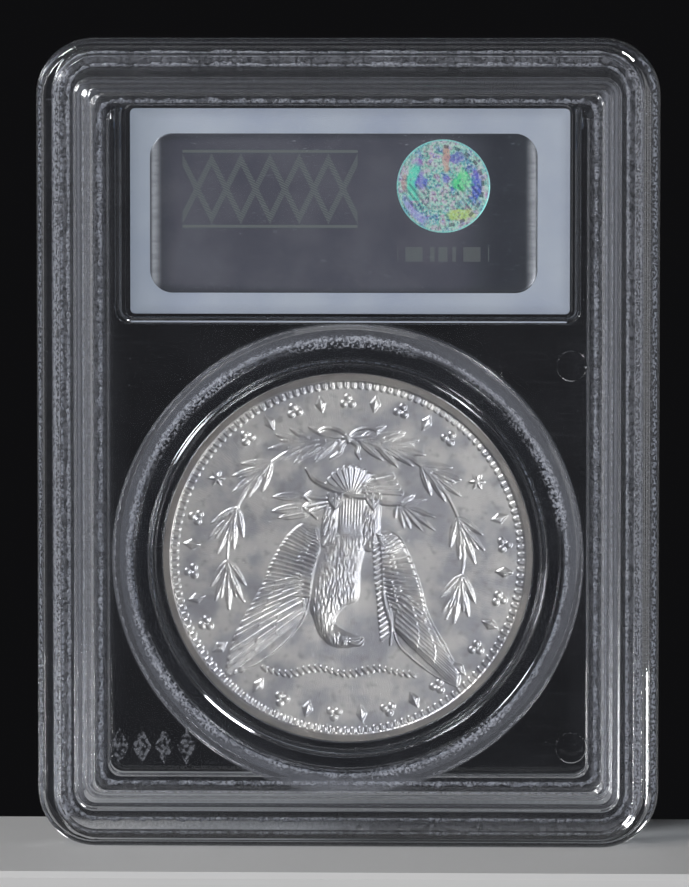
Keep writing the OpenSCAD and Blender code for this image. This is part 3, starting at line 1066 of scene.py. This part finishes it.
left_lead = ((-3.2, 3.2), (-2.9, 1.2), (-3.6, -1.5), (-3.9, -4.4))
left_outer = [(-3.6, 3.3), (-4.8, 3.5), (-6.0, 2.6), (-7.1, 1.1), (-8.25, -1), (-8.9, -2.9)]
left_outer += [(-10.4, -5.6), (-12.0, -8.7), (-12.8, -12.2)]
left_lower = ((-3.9, -4.4), (-4.6, -6.4), (-6.3, -8.6), (-9.3, -11.0), (-12.7, -12.4))
wing(eagle, left_lead, left_outer, left_lower, -1)
right_lead = ((3.0, 2.6), (3.4, 0.5), (3.7, -2.5), (4.3, -5.2))
right_outer = [(3.6, 2.8), (4.6, 2.7), (5.75, 1.6), (7.1, -1.6), (7.7, -3.6), (8.4, -6.1)]
right_outer += [(10.2, -9.4), (11.5, -12.0), (11.4, -13.4)]
right_lower = ((4.3, -5.2), (5.0, -8.6), (6.6, -10.4), (9.0, -12.2), (11.3, -13.4))
wing(eagle, right_lead, right_outer, right_lower, 1)
for k in range(18):
    z = 1.8 - k * 0.56
    root = (float(np.interp(-z, (-2, 9), (3.5, 4.4))), z)
    eagle.feather(root, (root[0] - 0.95, z - 0.75), 0.45, 0.2, -1)
bone = curve([(3.4, 2.7), (3.6, -1), (3.75, -4.1), (4.5, -6.9), (4.4, -8.9)])
eagle.stroke(bone, (0.2, 0.25, 0.4, 0.6, 0.15), 0.24)

# Body, legs, neck and head.
left_flank = [(-1.2, 2.6), (-2.2, 1.8), (-2.65, 0.5), (-3.5, -2.6), (-3.9, -4.9), (-3.5, -6.4)]
head = [(-2.9, -8.0), (-1.6, -9.1), (0.2, -9.25), (1.5, -8.7), (0.6, -8.0), (-0.9, -7.2), (-1.3, -6.3)]
right_flank = [(-0.3, -5.0), (1.1, -4.1), (1.3, -1.0), (1.9, 1.6), (1.4, 2.6)]
body = curve(left_flank + head + right_flank, 110)
eagle.dome(body, 0.2, 1.6)
down = Relief()
for k in range(460):
    row, place = k // 14, k % 14
    jitter = Vector([noise.noise(Vector((k * 0.37, y, 0.2))) for y in (1.3, 8.3, 15.3)]) * 0.4
    z = -8.9 + row * 0.35 + jitter.y
    left = float(np.interp(z, (-8.4, -6.4, -4.9, -2.6, 0.5, 2.6), (-2.6, -3.4, -3.8, -3.4, -2.6, -1.4)))
    right = float(np.interp(z, (-8.4, -6.3, -5.0, -4.1, -1, 1.6), (0.2, -1.5, -0.6, 0.9, 1.1, 1.6)))
    x = left + 0.3 + (right - left - 0.5) * (place + 0.5 * (row % 2)) / 14 + jitter.x
    size, height = 0.34 + 0.16 * jitter.z, 0.025 + 0.015 * (k % 3)
    down.feather((x, z - 0.45), (x + jitter.x * 0.7, z + 0.35), size, height, 1 - 2 * (k % 2), 0.3)
eagle.high = eagle.high + down.high * (eagle.high > 0.1)
brow = curve([(-2.4, -7.6), (-2.2, -8.8), (-0.9, -9.3), (0.7, -9.1), (0.4, -8.3), (-0.9, -7.5)], 40)
eagle.dome(brow, 0.05, 0.4, add=True)
eagle.stroke(curve([(0.3, -8.75), (1.2, -8.9), (1.65, -8.3)], 16), (0.5, 0.45, 0.12), 0.33)
eagle.stroke(curve([(0.3, -8.4), (1.0, -8.35), (1.4, -8.2)], 16), (0.3, 0.25, 0.1), 0.3)
eagle.stroke([(-0.45, -8.6), (-0.3, -8.55)], (0.3, 0.3), 0.07, add=True)
legs = (((-2.0, 1.6), (-1.9, 3.4), (-1.3, 5.4)), ((2.2, 1.4), (2.5, 3.2), (3.0, 5.2)))
for leg, foot in zip(legs, (-1.3, 2.6)):
    eagle.stroke(curve(leg, 20), (1.5, 1.6, 0.8), 0.13, blunt=0.3)
    for k in range(30):
        x, z = leg[0][0] + 0.62 * math.sin(k * 2.3), 1.0 + k * 0.125
        end = (x + 0.3 * (foot - x), z + 0.9)
        eagle.feather((x, z), end, 0.34, 0.15 + 0.02 * (k % 4), 1 - 2 * (k % 2), 0.4)
    for claw in (-0.55, 0, 0.55):
        grip = curve([(foot, 5.2), (foot + claw, 5.9), (foot + claw * 1.3, 6.6)], 12)
        eagle.stroke(grip, (0.4, 0.2), 0.3)

# Ornaments in the places of lettering: a beaded rope, two stars, and a ring of lozenges and
# three-beaded knots.
for k in range(26):
    x = -8.6 + k * 15.2 / 25
    sag = 0.3 * math.cos(x)
    eagle.stroke([(x - 0.2, -11.5 - sag), (x + 0.2, -11.9 - sag)], (0.35, 0.35), 0.12)
eagle.star(-13.5, 8.2, 1.0, 0.17)
eagle.star(13.3, 7.9, 1.0, 0.17)


def ornament_ring(relief, start, end, count):
    """Lozenges and knots in turn along an arc from start to end, in degrees."""
    for k in range(count):
        a = math.radians(start + (end - start) * k / (count - 1))
        out = np.array((math.cos(a), math.sin(a)))
        side = np.array((-out[1], out[0]))
        centre = out * 16.15
        if k % 2:
            diamond = [centre + out * 0.95, centre + side * 0.55, centre - out * 0.95, centre - side * 0.55]
            relief.dome(diamond, 0.14, 0.3)
            relief.stroke([centre - out * 0.5, centre + out * 0.5], (0.16, 0.16), 0.05, add=True)
        else:
            for angle in (90, 210, 330):
                b = math.radians(angle)
                bead = centre + (out * math.sin(b) + side * math.cos(b)) * 0.45
                relief.stroke([bead - side * 0.02, bead + side * 0.02], (0.72, 0.72), 0.14)


ornament_ring(eagle, 50, 130, 9)
ornament_ring(eagle, 165, 375, 22)
silver = struck_silver()
struck_face("coin_eagle", eagle, -1, silver)

# The front face: a sun over hills, with rays, in the same wreath and ring.
sunrise = Relief()
sunrise.ring(border)
for k in range(25):
    a = math.radians(-6 + k * 192 / 24)
    inner_end, outer_end = 5.2, 10.8 if k % 2 else 8.6
    ray = [(math.cos(a) * d, -2 + math.sin(a) * d) for d in (inner_end, outer_end)]
    sunrise.stroke(ray, (0.75, 0.15), 0.14)
sun = [(4.4 * math.cos(math.radians(a)), -2 + 4.4 * math.sin(math.radians(a))) for a in range(0, 360, 6)]
sunrise.dome(sun, 0.24, 3.5)
hills = curve([(-11, -4.2), (-7.5, -1.8), (-4, -3.4), (0, -2.2), (4, -3.8), (8, -2.0), (11, -4.4)], 60)
sunrise.dome(np.vstack([hills, [(9.5, -8.5), (0, -11), (-9.5, -8.5)]]), 0.2, 1.2)
for k in range(7):
    furrow = [(x * (1 - 0.06 * k), z - 0.9 - k * 0.95) for x, z in hills]
    sunrise.stroke(furrow, (0.28, 0.28), 0.05, add=True)
for sign in (-1, 1):
    branch = mirrored([(0.5, -13.6), (6, -12.4), (11.2, -8), (13.4, -2), (13.0, 4), (10.4, 9)], sign)
    wreath(sunrise, branch, 11, 5, 2.6)
ornament_ring(sunrise, 0, 360 * 35 / 36, 36)
struck_face("coin_sunrise", sunrise, 1, silver)


def reeded_edge():
    """The coin's edge: reeds all round between two plain bevels."""
    reeds, samples = 189, 6
    levels = ((coin_r - 0.06, coin_half), (coin_r - 0.01, coin_half - 0.05), (coin_r, coin_half - 0.12))
    levels += tuple((r, -h) for r, h in reversed(levels))
    rings = []
    for radius, height in levels:
        ring = []
        for k in range(reeds * samples):
            a = 2 * math.pi * k / (reeds * samples)
            cut = 0.07 * (k % samples in (0, 1)) if abs(height) < coin_half - 0.1 else 0
            ring.append(((radius - cut) * math.cos(a), height, coin_z + (radius - cut) * math.sin(a)))
        rings.append(ring)
    edge = skinned("coin_reeded_edge", rings)
    work = bmesh.new()
    work.from_mesh(edge.data)
    bmesh.ops.delete(work, geom=[f for f in work.faces if len(f.verts) > 4], context="FACES_ONLY")
    work.to_mesh(edge.data)
    work.free()
    return edge


placed(smoothed(reeded_edge(), 20), silver, "coin_silver", "coin")


# Studio: a small pale board to stand on, two small softboxes on each face's side of the holder,
# weak ones at its sides and above, and a camera almost square on to the rear face.
def studio_floor():
    """Pale matt board with a faint mottle."""
    finish = Finish("studio_board")
    point = finish.place()[3]
    mottle = finish.noise(point, 0.03, 4.0)
    grain = finish.noise(point, 1.2, 4.0)
    board = finish.blend(mottle, (0.8, 0.8, 0.81, 1), (0.88, 0.88, 0.88, 1))
    return finish.done(finish.opaque(board, 0.6 + grain * 0.2, grain, 0.15, 0.0001))


board_rings = [rounded_ring(0, 0, 150 - 2 * i, 44 - 2 * i, 4, h) for i, h in ((0, 5), (0, 0.6), (0.6, 0))]
board = skinned("studio_floor", [[(px, pz, -ph) for px, ph, pz in ring] for ring in board_rings])
board.data.materials.append(studio_floor())
smoothed(board)


def toward(turn, rise):
    """The direction at turn degrees right of square on to the rear face, and rise degrees up."""
    a, b = math.radians(turn), math.radians(rise)
    return Vector((math.sin(a) * math.cos(b), -math.cos(a) * math.cos(b), math.sin(b)))


def softbox(name, turn, rise, away, width, height, power, flag=None):
    """A soft lamp. With a flag, it lights only the pieces in that collection."""
    back = toward(turn, rise)
    lamp = bpy.data.lights.new(name, "AREA")
    lamp.shape, lamp.size, lamp.size_y, lamp.energy = "RECTANGLE", width, height, power
    box = linked(name, lamp)
    box.location = middle + back * away
    box.rotation_euler = (-back).to_track_quat("-Z", "Y").to_euler()
    box.visible_camera = False
    box.light_linking.receiver_collection = flag


middle = (cad_low + cad_high) / 2
softbox("right_key", 27, -12, 0.6, 0.08, 0.08, 1.15)
softbox("left_key", -42, 40, 0.6, 0.14, 0.14, 1.7)
softbox("right_side", 62, 2, 0.5, 0.5, 0.4, 0.15)
softbox("left_side", -62, 2, 0.5, 0.5, 0.4, 0.15)
softbox("top_fill", 0, 70, 0.5, 0.3, 0.2, 0.06)

# Two more boxes light the front face. Flags keep their light off the rear half.
front_half = bpy.data.collections.new("front_half")
for name in ("front_shell_clear", "paper_label_card", "coin_sunrise_field", "coin_sunrise_border"):
    front_half.objects.link(bpy.data.objects[name])
front_half.objects.link(bpy.data.objects["coin_reeded_edge"])
softbox("front_right_key", 207, 12, 0.6, 0.08, 0.08, 1.0, front_half)
softbox("front_left_key", 138, 40, 0.6, 0.14, 0.14, 1.6, front_half)

world = bpy.data.worlds.new("studio_room")
world.use_nodes = True
world.node_tree.nodes["Background"].inputs[0].default_value = (0.0045, 0.0045, 0.005, 1)
bpy.context.scene.world = world
bpy.context.scene.view_settings.view_transform = "Standard"
bpy.context.scene.cycles.caustics_refractive = False
bpy.context.scene.cycles.caustics_reflective = False

camera_away, camera_turn, camera_rise = 0.7, 2, 4.2
camera = linked("camera", bpy.data.cameras.new("camera"))
camera.data.sensor_width = 36
camera.data.lens = 275.6
aim = Vector((-0.00039, 0, middle.z - 0.00008))
back = toward(camera_turn, camera_rise)
camera.location = aim + back * camera_away
camera.rotation_euler = (-back).to_track_quat("-Z", "Y").to_euler()
bpy.context.scene.camera = camera
